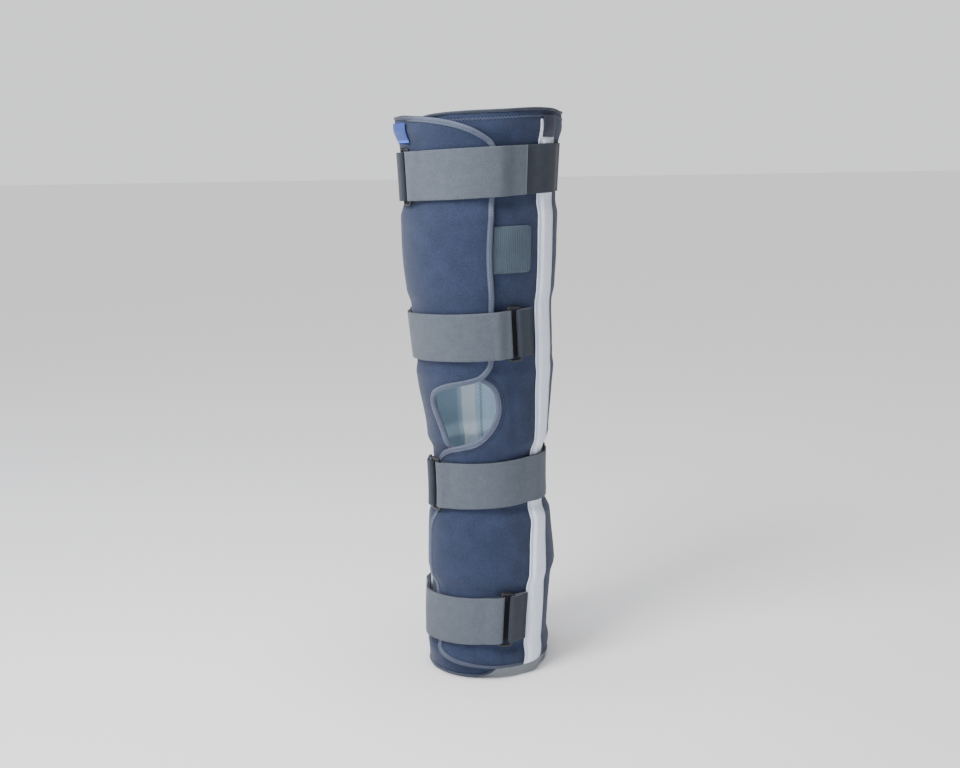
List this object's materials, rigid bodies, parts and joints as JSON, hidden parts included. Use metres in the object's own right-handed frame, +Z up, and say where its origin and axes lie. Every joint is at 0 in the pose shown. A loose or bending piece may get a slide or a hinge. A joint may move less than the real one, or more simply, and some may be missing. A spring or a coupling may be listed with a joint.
{
  "type": "knee immobilizer",
  "caption": "Padded wrap-around knee immobilizer, upright, with overlapping flaps, side stay pockets, patella opening and webbing straps with loop rings.",
  "frame": {"origin": "middle of the object's box in plan, on the surface that it stands on", "axes": "+Z up the leg from calf to thigh, -Y to the front, where the patella opening is, +X to the side whose white stay pocket the picture shows"},
  "size_m": [0.1768, 0.1918, 0.6028],
  "materials": {
    "pad_fabric": "brushed loop knit over foam",
    "binding_tape": "folded woven binding tape",
    "webbing": "brushed loop webbing",
    "ring_plastic": "moulded, semi gloss",
    "pocket_satin": "satin woven",
    "grip_patch": "ribbed hook tape",
    "label_blue": "woven label, blank",
    "lining": "smooth knit lining"
  },
  "bodies": {
    "root": {"wrap_panel": "pad_fabric", "edge_binding": "binding_tape", "thigh_upper_strap": "webbing", "thigh_upper_tab": "webbing", "thigh_upper_ring": "ring_plastic", "thigh_lower_strap": "webbing", "thigh_lower_tab": "webbing", "thigh_lower_ring": "ring_plastic", "calf_upper_strap": "webbing", "calf_upper_tab": "webbing", "calf_upper_ring": "ring_plastic", "calf_lower_strap": "webbing", "calf_lower_tab": "webbing", "calf_lower_ring": "ring_plastic", "right_stay_pocket": "pocket_satin", "right_pocket_flap": "pad_fabric", "right_inner_channel": "lining", "left_stay_pocket": "pocket_satin", "left_pocket_flap": "pad_fabric", "left_inner_channel": "lining", "grip_patch": "grip_patch", "side_label": "label_blue"}
  },
  "joints": []
}
